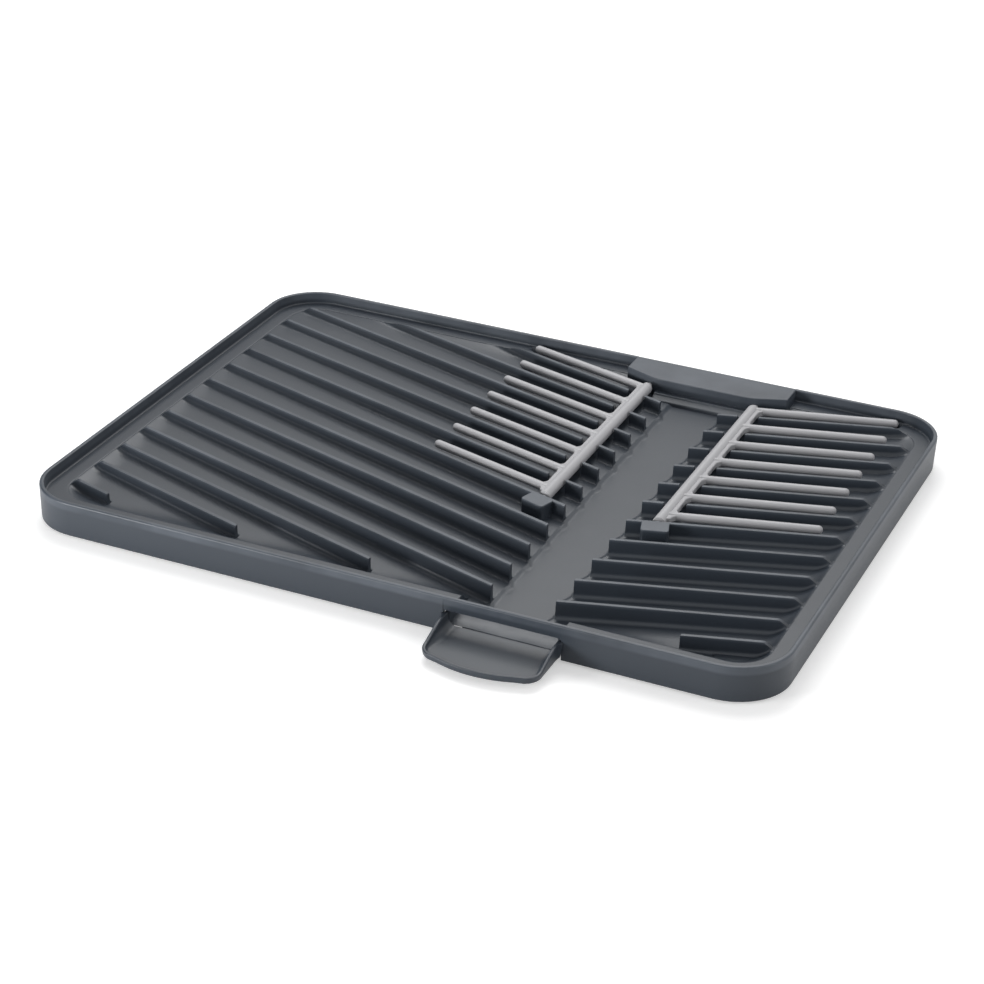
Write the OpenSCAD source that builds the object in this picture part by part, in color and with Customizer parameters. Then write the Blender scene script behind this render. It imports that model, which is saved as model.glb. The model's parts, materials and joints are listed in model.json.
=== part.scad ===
// Ribbed draining rack: a sloping tray with two flip-up peg combs, a rear bridge and a front spout.
// X runs along the long side, +Y to the rear, +Z up, with the feet standing on z = 0.

/* [Tray] */
// Overall length of the tray along X
tray_l = 400; // [330:1:480]
// Overall depth of the tray along Y
tray_d = 299; // [248:1:360]
// Height of the rim above the surface that the feet stand on
tray_h = 20; // [19:0.5:26]
// Gap between the bottom edge of the rim and the surface
skirt_gap = 1.4; // [1:0.1:1.6]
// Outer radius of the tray's corners
corner_r = 29.4; // [22:0.2:36]
// Thickness of the rim wall
rim_wall = 2.4; // [2:0.1:3]
// Thickness of the ledge and of the basin walls
shell_wall = 2; // [1.6:0.1:2.4]
// Depth of the ledge below the rim
ledge_drop = 6.6; // [6:0.1:7.2]
// Width of the ledge at the left and right sides
ledge_side = 12.5; // [10:0.5:16]
// Width of the ledge at the rear
ledge_rear = 11.5; // [10:0.5:14]
// Width of the ledge at the front
ledge_front = 16.7; // [14:0.1:20]

/* [Ribs] */
// Distance from one rib to the next, measured along Y
rib_pitch = 22.75; // [18.75:0.05:27.5]
// Angle between the ribs and the long side
rib_angle = 17.2; // [14:0.2:19]
// Thickness of a rib
rib_t = 2.3; // [2:0.1:3]
// Depth of the rib tops below the rim
rib_drop = 3.3; // [3:0.1:3.6]
// Distance from the rear edge to where the rearmost rib line meets the channel's centre line
rib_rear = 49.9; // [48:0.1:54]

/* [Drain] */
// Place of the channel's centre line along X
channel_x = 66; // [40:1:80]
// Width of the channel
channel_w = 33.4; // [30:0.2:38]
// Depth of the valleys below the rim, at the rear end of the channel
valley_drop = 10.4; // [10.2:0.1:10.6]
// Rise of a valley floor per millimetre away from the channel
valley_rise = 0.0166; // [0.012:0.0002:0.018]
// Fall of the valley floors from the rear to the front
valley_fall = 2.6; // [2:0.1:2.8]
// Depth of the channel below the rim, at its rear end
channel_drop = 11.6; // [11.4:0.1:11.8]
// Fall of the channel from its rear end to the outlet
channel_fall = 2.1; // [1.6:0.1:2.2]
// Thickness of the valley floors
floor_t = 1.8; // [1.5:0.1:2]
// Thickness of the channel floor
channel_t = 1.5; // [1.2:0.1:1.6]

/* [Combs] */
// Pegs on each comb
peg_count = 7; // [3:1:8]
// Diameter of a peg
peg_d = 4.6; // [4:0.1:5]
// Length of a peg from the shaft's axis to the centre of its round tip
peg_l = 77.5; // [60:0.5:79]
// Diameter of a comb's shaft
shaft_d = 6.2; // [5.6:0.1:6.4]
// Distance from the channel's centre line to a shaft's axis
shaft_offset = 31; // [25.5:0.1:37.5]
// Depth of a shaft's axis below the rim
shaft_drop = 5.2; // [5.1:0.1:5.4]
// Droop of the pegs below the horizontal when the comb is folded flat
peg_droop = 0.7; // [0:0.1:0.7]
// Thickness of the web that joins the pegs to the shaft
web_t = 3.6; // [3:0.1:4]
// Reach of the web from the shaft's axis
web_reach = 6; // [5:0.1:7]
// Diameter of the pins at the ends of a shaft
pin_d = 2.4; // [2:0.1:2.6]
// Length of a pin
pin_l = 5; // [4:0.5:6]
// Radial clearance of a pin in its bore
pin_clearance = 0.06; // [0.03:0.01:0.1]
// Clearance around what swings in the tray
swing_clearance = 1; // [0.6:0.1:1.4]

/* [Bridge] */
// Width of the bridge at its rear edge
bridge_w = 94; // [90:1:98]
// Width of the straight middle of its front edge
bridge_mid_w = 56; // [50:1:58]
// Depth of the bridge at its middle, from the rim wall to the front edge
bridge_d = 21.7; // [20:0.1:23]
// Depth of the bridge at its ends
bridge_end_d = 14.2; // [13:0.1:15]
// Depth of its seat below the rim
bridge_drop = 8.8; // [8.6:0.1:9.2]
// Wall of the bridge, which is hollow from below
bridge_wall = 2; // [1.6:0.1:2.4]

/* [Spout] */
// Width of the spout
spout_w = 60; // [50:1:72]
// Reach of the spout in front of the tray
spout_reach = 34; // [28:1:44]
// Thickness of the spout's walls
spout_wall = 2.2; // [1.8:0.1:2.6]
// Thickness of the spout's floor
spout_floor_t = 1.6; // [1.4:0.1:1.8]
// Depth of the tops of its side walls below the rim, at the tray
spout_wall_drop = 8.4; // [8:0.1:9]
// Depth of its front lip below the rim
lip_drop = 13.6; // [13:0.1:14]
// Radius of its front corners
spout_corner_r = 9; // [6:0.5:12]
// How far its front edge bows forward
spout_bow = 4; // [2:0.5:6]
// Length of the tongue that holds it under the channel
tongue_l = 26; // [20:1:34]
// Clearance between the spout and the notch, rails and channel floor around it
spout_clearance = 0.25; // [0.2:0.05:0.4]
// Height of the notch's top below the rim
notch_drop = 7; // [6.8:0.1:7.6]

/* [Feet] */
// Diameter of a rubber foot
foot_d = 14; // [10:1:18]
// Height of a rubber foot
foot_h = 3.4; // [3:0.1:4]
// Depth of the pocket that holds a foot
foot_pocket = 1.4; // [1:0.1:1.8]
// Distance from a foot's centre to the tray's sides
foot_inset = 30; // [24:1:50]

/* [Hidden] */
$fn = 64;
slate = [0.27, 0.29, 0.32];
pale_grey = [0.70, 0.70, 0.71];
black_rubber = [0.10, 0.10, 0.11];
over = 0.1;                                   // how far a cut passes the face that it opens
span = tray_l + tray_d;                       // longer than anything in the plan
half_l = tray_l / 2;
half_d = tray_d / 2;
ledge_z = tray_h - ledge_drop;
rib_z = tray_h - rib_drop;
inner_r = corner_r - rim_wall;
basin_r = corner_r - ledge_side;
slant = tan(rib_angle);
channel_edge = channel_w / 2;
channel_rear = 30;                            // distance of the channel's rear end from the tray's rear
channel_rear_y = half_d - channel_rear;
channel_front_y = -half_d + rim_wall + spout_clearance;
channel_length = channel_rear_y - channel_front_y;
channel_low_z = tray_h - channel_drop - channel_fall;
rib_first_y = half_d - rib_rear;
shaft_z = tray_h - shaft_drop;
bore_r = pin_d / 2 + pin_clearance;
peg_first_y = rib_y(0, shaft_offset) + rib_pitch / 2;
boss_rib = peg_count - 1;                     // the rib that carries the front pins
boss_y = rib_y(boss_rib, shaft_offset);
rib_end = 8;                                  // shortest distance from a rib's far end to the front ledge
boss_front = 9;                               // reach of a boss in front of its rib
boss_half_w = 7.8;                            // half of a boss's length along its rib
boss_rise = 0.4;                              // height of a boss above the rib tops
shaft_front_y = boss_y + (rib_t + shaft_d * slant) / 2 + swing_clearance / 2;
bridge_rear_y = half_d - rim_wall;
bridge_face_y = bridge_rear_y - bridge_d;
shaft_rear_y = bridge_edge_y(shaft_offset - shaft_d / 2) - swing_clearance;
relief_r = peg_d / 2 + swing_clearance;
relief_drop = 9.4;                            // depth of the reliefs under the rear pegs' tips
relief_z = tray_h - relief_drop;
spout_top_z = channel_low_z - channel_t - spout_clearance;
spout_front_y = -half_d - spout_reach;
tongue_w = channel_w + 8;
notch_r = 2;                                  // radius of the notch's upper corners
foot_boss_r = foot_d / 2 + shell_wall;
foot_boss_z = foot_h - foot_pocket;
foot_clearance = 0.05;                        // clearance of a foot in its pocket
gusset = 5;                                   // reach of the gussets beside a peg

// Place along Y of rib number k where it is dx away from the channel's centre line.
function rib_y(k, dx) = rib_first_y - rib_pitch * k + slant * dx;

// Number of ribs on one side; the last one reaches the basin's far front corner.
function rib_count(side) = 1 + floor(
    (rib_y(0, half_l - ledge_side - side * channel_x) + half_d - ledge_front - rib_end) / rib_pitch);

// Front edge of the bridge where it is dx away from the channel's centre line.
function bridge_edge_y(dx) = bridge_face_y
    + max(0, dx - bridge_mid_w / 2) * (bridge_d - bridge_end_d) / ((bridge_w - bridge_mid_w) / 2);

// Points along an arc, from angle a0 to angle a1.
function arc(c, r, a0, a1, n) = [for (i = [0:n])
    c + r * [cos(a0 + (a1 - a0) * i / n), sin(a0 + (a1 - a0) * i / n)]];

// Puts the middle of the whole plan, spout included, at the origin.
module placed() translate([0, spout_reach / 2, 0]) children();

// Everything between two heights over a flat outline.
module between(low, high) translate([0, 0, low]) linear_extrude(high - low) children();

// Rectangle with rounded corners, from low corner to high corner.
module rounded_rect(low, high, r) {
    translate([low.x + r, low.y]) square([high.x - low.x - 2 * r, high.y - low.y]);
    translate([low.x, low.y + r]) square([high.x - low.x, high.y - low.y - 2 * r]);
    for (x = [low.x + r, high.x - r], y = [low.y + r, high.y - r]) translate([x, y]) circle(r);
}

// The tray's outline, moved in by the same amount all round.
module tray_outline(inset, r)
    rounded_rect([inset - half_l, inset - half_d], [half_l - inset, half_d - inset], r);

// The two basins and the channel between them, grown by a margin.
module field_outline(grow) rounded_rect(
    [ledge_side - half_l - grow, ledge_front - half_d - grow],
    [half_l - ledge_side + grow, half_d - ledge_rear + grow], basin_r + grow);

// One side of the field: side is -1 for the left basin and 1 for the right one.
module basin_outline(side, grow) intersection() {
    field_outline(grow);
    translate([side > 0 ? channel_x + channel_edge : channel_x - channel_edge - span, -span / 2])
        square(span);
}

// The channel, and the wider bay that leads from it to the outlet notch.
module channel_outline(grow) {
    translate([channel_x - channel_edge - grow, channel_front_y])
        square([channel_w + 2 * grow, channel_length + grow]);
    translate([channel_x - spout_w / 2 + spout_wall - grow, channel_front_y])
        square([spout_w - 2 * spout_wall + 2 * grow, ledge_front - rim_wall + grow]);
}

// The space below a plane through [x, y, z] that rises by slopes.x and slopes.y per millimetre.
module below_plane(point, slopes) translate(point) rotate([atan(slopes.y), -atan(slopes.x), 0])
    translate([-span, -span, -2 * tray_h]) cube([2 * span, 2 * span, 2 * tray_h]);

module below_valley(side, drop) below_plane(
    [channel_x + side * channel_edge, channel_rear_y - 10, tray_h - valley_drop - drop],
    [side * valley_rise, valley_fall / channel_length]);

module below_channel(drop) below_plane(
    [channel_x, channel_rear_y, tray_h - channel_drop - drop], [0, channel_fall / channel_length]);

// Mirrors a shape drawn for the right side, about the channel, when side is -1.
module on_side(side) translate([channel_x, 0, 0]) scale([side, 1, 1]) children();

// Ribs of one side in plan, with a gap for the comb's shaft in those behind the pivot boss.
module rib_plan(side) difference() {
    intersection() {
        basin_outline(side, over);
        on_side(side) for (k = [0:rib_count(side) - 1])
            translate([0, rib_y(k, 0)]) rotate(rib_angle) translate([0, -rib_t / 2]) square([span, rib_t]);
    }
    on_side(side) translate([shaft_offset - shaft_d / 2 - swing_clearance, boss_y + rib_pitch / 2])
        square([shaft_d / 2 + web_reach + 2 * swing_clearance, half_d - boss_y]);
}

module boss_plan(side) on_side(side) translate([shaft_offset, boss_y]) rotate(rib_angle)
    translate([-boss_half_w, -rib_t / 2 - boss_front]) square([2 * boss_half_w - 1, rib_t + boss_front]);

// Path of the rearmost peg, which lies over the ledge when the comb is flat.
module relief_plan(side, grow) on_side(side) translate([shaft_offset, peg_first_y]) rotate(rib_angle) {
    translate([0, -relief_r - grow]) square([peg_l, 2 * (relief_r + grow)]);
    translate([peg_l, 0]) circle(relief_r + grow);
}

// Room around the rear end of a shaft, in front of the bridge.
module shaft_bay_plan(side) on_side(side) translate([shaft_offset - shaft_d / 2 - swing_clearance, 0])
    square([shaft_d + 2 * swing_clearance, bridge_face_y + bridge_d / 2]);

module bridge_plan(grow) {
    outer = bridge_w / 2 + grow;
    middle = bridge_mid_w / 2;
    front = bridge_face_y - grow;
    ends = bridge_rear_y - bridge_end_d - grow;
    translate([channel_x, 0]) polygon([[-outer, ends], [-middle, front], [middle, front], [outer, ends],
                                       [outer, bridge_rear_y], [-outer, bridge_rear_y]]);
}

// Everything that is open above the tray's floors.
module top_cavity() {
    between(rib_z, tray_h + over) tray_outline(rim_wall, inner_r);
    between(ledge_z, rib_z + over) difference() {
        tray_outline(rim_wall, inner_r);
        rib_plan(-1);
        rib_plan(1);
    }
    for (side = [-1, 1]) difference() {
        between(0, ledge_z + over) difference() {
            basin_outline(side, 0);
            rib_plan(side);
            translate([channel_x, 0]) bridge_shadow();
        }
        below_valley(side, 0);
    }
    difference() {
        between(0, ledge_z + over) channel_outline(0);
        below_channel(0);
    }
}

// Rear strip at the bridge that no basin reaches.
module bridge_shadow() translate([-bridge_w / 2, bridge_face_y]) square([bridge_w, bridge_d]);

// Everything that is open below the tray's floors.
module under_cavity() {
    between(-over, ledge_z - shell_wall) difference() {
        tray_outline(rim_wall, inner_r);
        field_outline(shell_wall);
        channel_outline(shell_wall);
    }
    for (side = [-1, 1]) intersection() {
        between(-over, ledge_z - floor_t) basin_outline(side, shell_wall);
        below_valley(side, floor_t);
    }
    intersection() {
        between(-over, ledge_z) channel_outline(shell_wall);
        below_channel(channel_t);
    }
}

// Rails under the channel that hold the spout's tongue from both sides and from below.
module tongue_rails() for (side = [-1, 1]) translate([channel_x, 0, 0]) scale([side, 1, 1]) {
    rail_x = tongue_w / 2 + spout_clearance;
    rail_low = spout_top_z - spout_floor_t - spout_clearance - 1;
    rail_y = -half_d + rim_wall + 4;
    translate([rail_x, rail_y, rail_low]) cube([shell_wall, tongue_l - 8, spout_top_z + 1 - rail_low]);
    translate([rail_x - 3, rail_y, rail_low]) cube([3 + over, tongue_l - 8, 1]);
}

module foot_spots(xs, ys) for (x = xs, y = ys)
    translate([x * (half_l - foot_inset), y * (half_d - foot_inset), 0])
    children();

// Floors, walls and everything moulded below them, before the top is opened.
module tray_block() {
    difference() {
        between(skirt_gap, tray_h) tray_outline(0, corner_r);
        under_cavity();
    }
    intersection() {
        between(tray_h - bridge_drop - shell_wall, ledge_z) bridge_plan(shell_wall);
        between(0, tray_h) tray_outline(over, corner_r);
    }
    for (side = [-1, 1]) between(relief_z - shell_wall, ledge_z) intersection() {
        relief_plan(side, shell_wall);
        tray_outline(over, corner_r);
    }
    foot_spots([-1, 1], [-1, 1]) between(foot_boss_z, ledge_z - over) circle(foot_boss_r);
    tongue_rails();
}

// Blocks on the ribs in front of the shafts, for their front pins.
module pivot_bosses() for (side = [-1, 1]) difference() {
    between(skirt_gap, rib_z + boss_rise) boss_plan(side);
    below_valley(side, floor_t / 2);
}

module tray() color(slate) placed() difference() {
    union() {
        difference() {
            tray_block();
            top_cavity();
        }
        pivot_bosses();
    }
    between(tray_h - bridge_drop, tray_h + over) bridge_plan(0);
    for (side = [-1, 1]) {
        between(relief_z, tray_h) relief_plan(side, 0);
        between(relief_z, tray_h) shaft_bay_plan(side);
        on_side(side) translate([shaft_offset, shaft_front_y + over, shaft_z]) rotate([90, 0, 0])
            cylinder(h = pin_l + swing_clearance / 2 + over, r = bore_r);
    }
    foot_spots([-1, 1], [-1, 1]) between(-over, foot_h) circle(foot_d / 2 + foot_clearance);
    notch();
}

// Outlet in the front wall, open at the bottom, with round upper corners.
module notch() translate([channel_x, -half_d - over, 0]) rotate([90, 0, 0]) mirror([0, 0, 1])
    linear_extrude(rim_wall + 2 * over) rounded_rect(
        [-spout_w / 2 - spout_clearance, -10], [spout_w / 2 + spout_clearance, tray_h - notch_drop], notch_r);

// A comb drawn for the right side: shaft, pins, web and pegs.
module comb(side) color(pale_grey) placed() on_side(side) translate([shaft_offset, 0, shaft_z]) {
    rotate([90, 0, 0]) translate([0, 0, -shaft_rear_y])
        cylinder(h = shaft_rear_y - shaft_front_y, d = shaft_d);
    rotate([90, 0, 0]) translate([0, 0, -shaft_rear_y - pin_l])
        cylinder(h = shaft_rear_y - shaft_front_y + 2 * pin_l, d = pin_d);
    rotate([0, peg_droop, 0]) {
        translate([0, 0, -web_t / 2]) linear_extrude(web_t) web_plan();
        for (k = [0:peg_count - 1]) translate([0, peg_first_y - rib_pitch * k, 0]) rotate(rib_angle) {
            rotate([0, 90, 0]) cylinder(h = peg_l, d = peg_d);
            translate([peg_l, 0, 0]) sphere(d = peg_d);
        }
    }
}

// Web along the shaft, with a gusset on each side of every peg but none behind the rearmost one.
module web_plan() {
    front = shaft_front_y + shaft_d * slant;
    translate([0, front]) square([web_reach, shaft_rear_y - 1 - front]);
    for (k = [0:peg_count - 1]) translate([web_reach, peg_first_y - rib_pitch * k + web_reach * slant])
        polygon([[-1, -gusset - peg_d / 2], [0, -gusset - peg_d / 2], [gusset, gusset * slant],
                 [0, k > 0 ? gusset + peg_d / 2 : 0], [-1, k > 0 ? gusset + peg_d / 2 : 0]]);
}

module left_comb() comb(-1);

module right_comb() comb(1);

// Cap over the rear pins, hollow from below, with solid blocks around the bores.
module rear_bridge() color(slate) placed() difference() {
    between(tray_h - bridge_drop, tray_h) bridge_plan(0);
    difference() {
        between(tray_h - bridge_drop - over, tray_h - bridge_wall) bridge_plan(-bridge_wall);
        translate([channel_x, bridge_rear_y, 0]) translate([-span / 2, -bridge_wall, 0])
            cube([span, bridge_wall + 1, tray_h]);
        for (side = [-1, 1]) on_side(side) translate([shaft_offset - 5, bridge_face_y - 1, 0])
            cube([10, pin_l + 6, tray_h]);
    }
    for (side = [-1, 1]) on_side(side)
        translate([shaft_offset, shaft_rear_y + pin_l + swing_clearance / 2, shaft_z])
            rotate([90, 0, 0]) cylinder(h = 2 * pin_l, r = bore_r);
}

// Plan of the spout in front of the tray: straight sides, round corners and a bowed front edge.
module spout_plan(inset) {
    half = spout_w / 2 - inset;
    r = spout_corner_r - inset;
    bow_r = (pow(half - r, 2) + pow(spout_bow, 2)) / (2 * spout_bow);
    front = spout_front_y + inset;
    shoulder = front + spout_bow;
    sweep = asin((half - r) / bow_r);
    translate([channel_x, 0]) polygon(concat(
        [[half, -half_d + rim_wall], [-half, -half_d + rim_wall]],
        arc([r - half, shoulder + r], r, 180, 270 - sweep, 10),
        arc([0, front + bow_r], bow_r, 270 - sweep, 270 + sweep, 16),
        arc([half - r, shoulder + r], r, 270 + sweep, 360, 10)));
}

// Side view of the spout: tall at the tray and sweeping down to the lip.
module spout_profile() {
    top = tray_h - spout_wall_drop;
    lip = tray_h - lip_drop;
    low = spout_top_z - spout_floor_t;
    start = -half_d - 3;
    reach = start - (spout_front_y + spout_corner_r);
    polygon(concat(
        [[spout_front_y - 1, low], [-half_d + rim_wall, low], [-half_d + rim_wall, top]],
        [for (i = [0:12]) [start - reach * i / 12, lip + (top - lip) * (1 + cos(180 * i / 12)) / 2]],
        [[spout_front_y - 1, lip]]));
}

module spout() color(slate) placed() {
    intersection() {
        difference() {
            between(spout_top_z - spout_floor_t, tray_h) spout_plan(0);
            between(spout_top_z, tray_h + over) union() {
                spout_plan(spout_wall);
                translate([channel_x - spout_w / 2 + spout_wall, -half_d])
                    square([spout_w - 2 * spout_wall, rim_wall + over]);
            }
        }
        translate([channel_x - span / 2, 0, 0]) rotate([90, 0, 90]) linear_extrude(span) spout_profile();
    }
    translate([channel_x - tongue_w / 2, -half_d, spout_top_z - spout_floor_t])
        cube([tongue_w, tongue_l, spout_floor_t]);
}

module foot(x, y) color(black_rubber) placed() foot_spots([x], [y]) cylinder(h = foot_h, d = foot_d);

module foot_front_left() foot(-1, -1);

module foot_front_right() foot(1, -1);

module foot_rear_left() foot(-1, 1);

module foot_rear_right() foot(1, 1);

tray();
left_comb();
right_comb();
rear_bridge();
spout();
foot_front_left();
foot_front_right();
foot_rear_left();
foot_rear_right();
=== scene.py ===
# %% [markdown]
# # A ribbed drying rack
# The real thing is a flat board moulded in slate-grey plastic. Water runs down the valleys between its
# ribs to a channel, and along the channel to a pouring spout under the front wall. Two pale combs lie
# in it and flip up to hold plates or bottles. The construction model already fixes every size and every
# hinge, so this script only gives each piece its rounded, moulded shape and its finish.

import json
import math

import bmesh
import bpy
import numpy as np
from mathutils import Matrix, Vector


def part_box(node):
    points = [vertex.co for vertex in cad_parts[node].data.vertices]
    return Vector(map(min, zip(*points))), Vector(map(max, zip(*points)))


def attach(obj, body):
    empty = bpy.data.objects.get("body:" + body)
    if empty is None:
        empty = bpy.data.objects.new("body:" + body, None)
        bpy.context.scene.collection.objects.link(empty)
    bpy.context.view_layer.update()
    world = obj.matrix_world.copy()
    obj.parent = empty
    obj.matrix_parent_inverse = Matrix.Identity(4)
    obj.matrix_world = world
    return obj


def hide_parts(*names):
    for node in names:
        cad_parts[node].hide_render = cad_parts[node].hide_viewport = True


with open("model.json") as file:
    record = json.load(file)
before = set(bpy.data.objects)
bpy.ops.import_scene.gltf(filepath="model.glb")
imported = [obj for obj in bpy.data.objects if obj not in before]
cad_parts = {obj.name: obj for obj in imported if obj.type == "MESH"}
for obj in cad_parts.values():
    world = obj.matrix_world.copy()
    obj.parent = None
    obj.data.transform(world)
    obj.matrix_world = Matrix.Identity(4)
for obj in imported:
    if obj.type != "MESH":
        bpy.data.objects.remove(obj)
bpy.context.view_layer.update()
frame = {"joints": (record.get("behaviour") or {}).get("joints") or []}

# %% [markdown]
# ## Places and sizes
# Blender works in metres, and a moulded part is easier to think of in millimetres, so each size is
# written as a number of MM. Everything that the frame knows is read from it: the outline of the tray,
# the two hinge lines and the boxes of the bridge and spout. The rest are the small sizes of the moulding.

# %% Sizes of the tray
MM = 0.001
tray_low, tray_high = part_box("tray")
half_length = tray_high.x
front_y, rear_y = tray_low.y, tray_high.y
skirt_z, rim_z = tray_low.z, tray_high.z
hinge = {joint["child"]: joint["pos_m"] for joint in frame["joints"]}
left_axis_x, right_axis_x = hinge["left_rack"][0], hinge["right_rack"][0]
channel_x = (left_axis_x + right_axis_x) / 2
shaft_offset = (right_axis_x - left_axis_x) / 2
shaft_z = hinge["left_rack"][2]
corner_r = 29.4 * MM
rim_wall = 2.4 * MM
ledge_z = rim_z - 6.6 * MM
ledge_side, ledge_front, ledge_rear = 12.5 * MM, 16.7 * MM, 11.5 * MM
shell, floor_wall = 2.0 * MM, 1.8 * MM
valley_z, channel_z, hollow_z = rim_z - 10.4 * MM, rim_z - 11.6 * MM, rim_z - 9.4 * MM
scoop_z, block_z = ledge_z - 0.3 * MM, rim_z - 13 * MM
print("channel at x =", round(channel_x, 4), "shafts", round(shaft_offset, 4), "either side")

# %% Sizes of the ribs, valleys and channel
rib_pitch = 22.75 * MM
rib_slope = math.tan(math.radians(17.2))
rib_cos = math.cos(math.radians(17.2))
rib_z = rim_z - 3.3 * MM
rib_line_y = rear_y - 49.9 * MM
boss_rib = 6
channel_half = 16.7 * MM
channel_rear_y = rear_y - 30 * MM
channel_length = channel_rear_y - front_y - rim_wall
bay_half = 27.8 * MM
shaft_gap = (26.9 * MM, 38.0 * MM)
field_x = half_length - ledge_side
field_front, field_rear = front_y + ledge_front, rear_y - ledge_rear
field_r = corner_r - ledge_side
peg_r, peg_length = 2.3 * MM, 77.5 * MM
print("ribs every", round(rib_pitch / MM, 2), "mm, field", round(2 * field_x / MM), "mm wide")

# %% [markdown]
# ## Putting arrays into meshes
# Each new piece is one or more grids of points worked out with numpy. These helpers turn a grid into
# quads, join several grids into one mesh, close their poles and point their faces outwards.

# %% Grids, joins and poles
def grid(points, wrap_rows=False, wrap_columns=False):
    """Quads of an array of points with shape (rows, columns, 3), closed round either way if asked."""
    rows, columns = points.shape[:2]
    row_range, column_range = np.arange(rows - (not wrap_rows)), np.arange(columns - (not wrap_columns))
    r, c = np.meshgrid(row_range, column_range, indexing="ij")
    r_next, c_next = (r + 1) % rows, (c + 1) % columns
    corners = [r * columns + c, r * columns + c_next, r_next * columns + c_next, r_next * columns + c]
    return points.reshape(-1, 3), np.stack(corners, -1).reshape(-1, 4).tolist()


def joined(*shapes):
    """Several (points, faces) shapes as one, with the later faces counted on from the earlier points."""
    starts = np.cumsum([0] + [len(points) for points, _ in shapes])
    faces = [[int(start) + i for i in face] for start, (_, some) in zip(starts, shapes) for face in some]
    return np.concatenate([points for points, _ in shapes]), faces


def place(x, y, z):
    """One array of points from three arrays that are stretched to the same shape."""
    return np.stack(np.broadcast_arrays(x, y, z), -1).astype(float)


# %% Making a piece
pieces = {"slate_plastic": [], "pale_plastic": [], "foot_rubber": []}


def make_piece(name, shape, body, node, slot, sharp=38, bevel=0.0):
    """A closed mesh piece that rides on a body and stands for a construction node.
    Points closer than a micrometre are merged, and the faces are turned outwards."""
    points, faces = shape
    mesh = bpy.data.meshes.new(name)
    mesh.from_pydata(points.tolist(), [], faces)
    work = bmesh.new()
    work.from_mesh(mesh)
    bmesh.ops.remove_doubles(work, verts=work.verts, dist=0.001 * MM)
    bmesh.ops.dissolve_degenerate(work, edges=work.edges, dist=0.0005 * MM)
    bmesh.ops.recalc_face_normals(work, faces=work.faces)
    work.to_mesh(mesh)
    work.free()
    mesh.shade_smooth()
    if not bevel:
        mesh.set_sharp_from_angle(angle=math.radians(sharp))
    piece = bpy.data.objects.new(name, mesh)
    bpy.context.scene.collection.objects.link(piece)
    if bevel:
        rounding = piece.modifiers.new("rounded edges", "BEVEL")
        rounding.width, rounding.segments = bevel, 3
        rounding.limit_method, rounding.angle_limit = "ANGLE", math.radians(sharp)
        rounding.harden_normals = True
    else:
        piece.modifiers.new("even shading", "WEIGHTED_NORMAL").keep_sharp = True
    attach(piece, body)
    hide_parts(node)
    pieces[slot].append(piece)
    print(name, len(mesh.vertices), "points", len(mesh.polygons), "faces")


# %% Outlines, prisms and turned shapes
def arc(centre_x, centre_y, radius, start, end, steps):
    """Points on a circle from one angle to another, in degrees."""
    angle = np.radians(np.linspace(start, end, steps + 1))
    return np.stack([centre_x + radius * np.cos(angle), centre_y + radius * np.sin(angle)], -1)


def rounded_box(x0, x1, y0, y1, radius, steps=6):
    """Outline of a rectangle whose corners are quarter circles."""
    return np.concatenate([
        arc(x1 - radius, y0 + radius, radius, -90, 0, steps),
        arc(x1 - radius, y1 - radius, radius, 0, 90, steps),
        arc(x0 + radius, y1 - radius, radius, 90, 180, steps),
        arc(x0 + radius, y0 + radius, radius, 180, 270, steps)])


def prism(outline, low, high):
    """An outline in plan between two heights, closed by one flat face at each end."""
    points = place(outline[None, :, 0], outline[None, :, 1], np.array([[low], [high]]))
    walls, faces = grid(points, wrap_columns=True)
    count = len(outline)
    return walls, faces + [list(range(count))[::-1], list(range(count, 2 * count))]


def turned(x, y, profile, steps=56):
    """A profile of (radius, height) pairs carried round an upright axis at x, y."""
    angle = np.linspace(0, 2 * math.pi, steps, endpoint=False)[None, :]
    radius, height = np.array(profile)[:, :1], np.array(profile)[:, 1:]
    return grid(place(x + radius * np.cos(angle), y + radius * np.sin(angle), height), wrap_columns=True)


def smooth(t):
    """0 below t = 0 and 1 above t = 1, with a soft S between."""
    t = np.clip(t, 0, 1)
    return t * t * (3 - 2 * t)


# %% [markdown]
# ## The floor: channel, valleys and ribs
# Seen from above, each point of the floor has one height, so the whole of it is one height function of
# two parameters. The ribs run at a slant that is mirrored in the channel, and an upright grid would turn
# their edges into stairs. So the second parameter is slanted too: it counts distance along Y less the
# ribs' slope, and stays the same all along a rib. Grid lines then follow every edge of every rib.

# %% Planes of the floor and the scoops at the valleys' ends
def across_ribs(x, y):
    """Slanted coordinate: y less the slope of the ribs times the distance from the channel's centre line."""
    return y - rib_slope * np.abs(x - channel_x)


def rib_phase(x, y):
    """How far a point is from one rib to the next one in front: 0 on a rib, towards 1 before the next."""
    return (rib_line_y - across_ribs(x, y)) / rib_pitch


def inside_field(x, y):
    """Distance inwards from the rounded rectangle that the ledge leaves open, negative outside it."""
    middle, half = (field_front + field_rear) / 2, (field_rear - field_front) / 2
    over_bay = (np.abs(x - channel_x) < bay_half) & (y < middle)
    out_x = np.abs(x) - (field_x - field_r)
    out_y = np.where(over_bay, 0, np.abs(y - middle)) - (half - field_r)
    outside = np.hypot(np.maximum(out_x, 0), np.maximum(out_y, 0))
    return field_r - outside - np.minimum(np.maximum(out_x, out_y), 0)


def trough_height(x, y):
    """Hollow under the rearmost pegs: low near the peg's line, and rising fast outside its half width."""
    off = np.abs(x - channel_x) - shaft_offset
    up = y - (rib_line_y + rib_slope * shaft_offset - rib_pitch / 2 + rib_pitch)
    along = off * rib_cos + up * rib_cos * rib_slope
    side = up * rib_cos - off * rib_cos * rib_slope
    distance = np.hypot(along - np.clip(along, 0, peg_length), side)
    return hollow_z + 12 * MM * smooth((distance - 3.0 * MM) / (3.2 * MM))


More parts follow.
